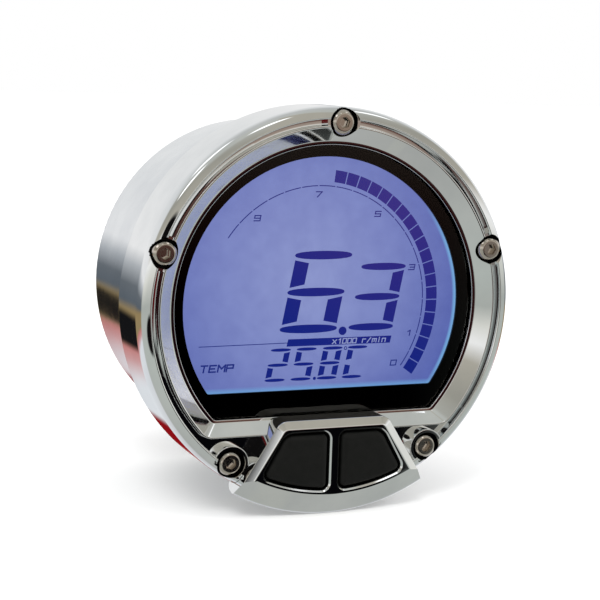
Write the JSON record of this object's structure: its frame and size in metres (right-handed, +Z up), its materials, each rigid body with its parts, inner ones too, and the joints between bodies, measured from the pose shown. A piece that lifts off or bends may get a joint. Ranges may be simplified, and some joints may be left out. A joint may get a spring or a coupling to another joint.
{
  "type": "instrument cluster",
  "caption": "Round chrome LCD tachometer and thermometer for a motorcycle, with a screwed bezel, a flat-bottomed window and push buttons in a raised surround.",
  "frame": {"origin": "centre of the flat rear face, on the axis of the can", "axes": "the dial faces -Y, +Z is up and +X is the rider's right"},
  "size_m": [0.062, 0.0554, 0.0634],
  "materials": {
    "chrome": "polished chrome plating",
    "rubber": "matt black rubber",
    "stainless": "bright stainless screw",
    "lens_clear": "clear polycarbonate window",
    "display_glass": "display glass",
    "polariser": "thin polarising film",
    "black_print": "black masking sheet",
    "black_plastic": "moulded black plastic, fine grain",
    "white_plastic": "white moulded plastic",
    "acrylic": "clear edge-lit acrylic",
    "circuit_board": "green solder mask on glass laminate",
    "chip": "black moulded package",
    "tin": "tinned metal case",
    "brass_plated": "plain brass"
  },
  "bodies": {
    "root": {"bezel": "chrome", "button_surround": "chrome", "bezel_screws": "stainless", "rear_housing": "chrome", "bezel_oring": "rubber", "lens": "lens_clear", "lens_gasket": "rubber", "dial_mask": "black_print", "lcd_front_polariser": "polariser", "lcd_front_glass": "display_glass", "lcd_rear_glass": "display_glass", "lcd_rear_polariser": "polariser", "diffuser_film": "white_plastic", "light_guide": "acrylic", "reflector_film": "white_plastic", "backlight_leds": "white_plastic", "lcd_holder": "black_plastic", "zebra_strip": "rubber", "display_board": "circuit_board", "board_screws": "stainless", "microcontroller": "chip", "crystal": "tin", "tact_switch_bodies": "black_plastic", "board_spacers": "brass_plated", "power_board": "circuit_board", "power_board_screws": "stainless", "board_link_header": "black_plastic", "capacitors": "chip", "voltage_regulator": "chip", "wire_header": "white_plastic", "rear_cover": "black_plastic", "rear_cover_seal": "rubber", "rear_cover_screws": "stainless", "mounting_studs": "stainless", "cable_grommet": "rubber"},
    "left_button": {"left_button": "rubber", "left_plunger": "black_plastic"},
    "right_button": {"right_button": "rubber", "right_plunger": "black_plastic"}
  },
  "joints": [
    {"name": "left_button_press", "type": "slide", "parent": "root", "child": "left_button", "axis": [0, 1, 0], "range_m": [0, 0.0008], "stiffness_N_per_m": 2000},
    {"name": "right_button_press", "type": "slide", "parent": "root", "child": "right_button", "axis": [0, 1, 0], "range_m": [0, 0.0008], "stiffness_N_per_m": 2000}
  ]
}
